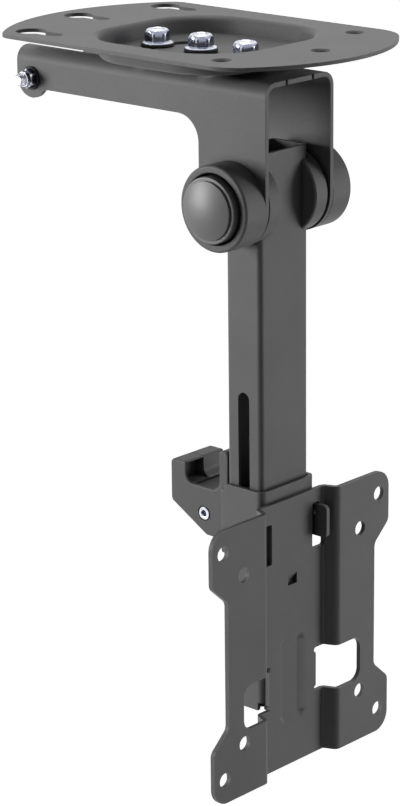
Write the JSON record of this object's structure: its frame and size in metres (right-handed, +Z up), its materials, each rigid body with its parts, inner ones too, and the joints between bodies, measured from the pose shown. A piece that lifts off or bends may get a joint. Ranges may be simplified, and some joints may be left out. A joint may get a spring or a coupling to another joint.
{
  "type": "folding tv bracket",
  "caption": "Ceiling bracket for a flat screen: round-ended plate, swivelling folded arm, drop tube that folds up, sliding screen plate and a spring latch hook.",
  "frame": {"origin": "on the swivel axis, in the plane of the plate's top face, which lies against the ceiling", "axes": "+Z up into the ceiling, -Y the way the screen faces, X across the width"},
  "size_m": [0.1134, 0.171, 0.3106],
  "materials": {
    "powder_coat": "fine textured charcoal powder coat, satin",
    "satin_plastic": "charcoal moulded plastic, satin",
    "hook_plastic": "charcoal moulded plastic, fine texture",
    "black_plastic": "black plastic, matte",
    "black_steel": "black oxide, matte",
    "zinc_steel": "bright zinc plating",
    "dark_zinc": "dark zinc plating",
    "spring_steel": "oiled spring steel"
  },
  "bodies": {
    "ceiling": {"ceiling_plate": "powder_coat"},
    "arm": {"arm_channel": "powder_coat", "friction_pad": "black_plastic", "swivel_washers": "black_steel", "swivel_bolts": "zinc_steel", "swivel_nuts": "zinc_steel", "catch_bolt": "zinc_steel", "catch_nut": "dark_zinc", "catch_washers": "zinc_steel", "hub_left": "satin_plastic", "hub_right": "satin_plastic", "cap_left": "satin_plastic", "cap_right": "satin_plastic", "pivot_bolt": "zinc_steel", "pivot_nut": "zinc_steel", "pivot_washers": "zinc_steel", "disc_springs": "spring_steel", "friction_washers": "black_plastic"},
    "tube": {"support_tube": "powder_coat", "bush_left": "satin_plastic", "bush_right": "satin_plastic", "tube_plug": "black_plastic"},
    "slider": {"slider_bracket": "powder_coat", "screen_plate": "powder_coat", "latch_bracket": "powder_coat", "lock_block": "black_plastic", "lock_bolt": "zinc_steel", "lock_washer": "zinc_steel", "latch_spring": "spring_steel"},
    "latch": {"latch_hook": "hook_plastic", "latch_pin": "zinc_steel"}
  },
  "joints": [
    {"name": "swivel", "type": "hinge", "parent": "ceiling", "child": "arm", "pos_m": [0, 0, -0.012], "axis": [0, 0, 1], "range_deg": [-45, 45]},
    {"name": "fold", "type": "hinge", "parent": "arm", "child": "tube", "pos_m": [0, -0.0355, -0.0628], "axis": [1, 0, 0], "range_deg": [0, 92]},
    {"name": "height", "type": "slide", "parent": "tube", "child": "slider", "axis": [0, 0, 1], "range_m": [-0.01, 0.05]},
    {"name": "latch_release", "type": "hinge", "parent": "slider", "child": "latch", "pos_m": [0, -0.01, -0.2027], "axis": [-1, 0, 0], "range_deg": [0, 18], "stiffness_Nm_per_rad": 0.3, "springref_deg": -20.05}
  ]
}
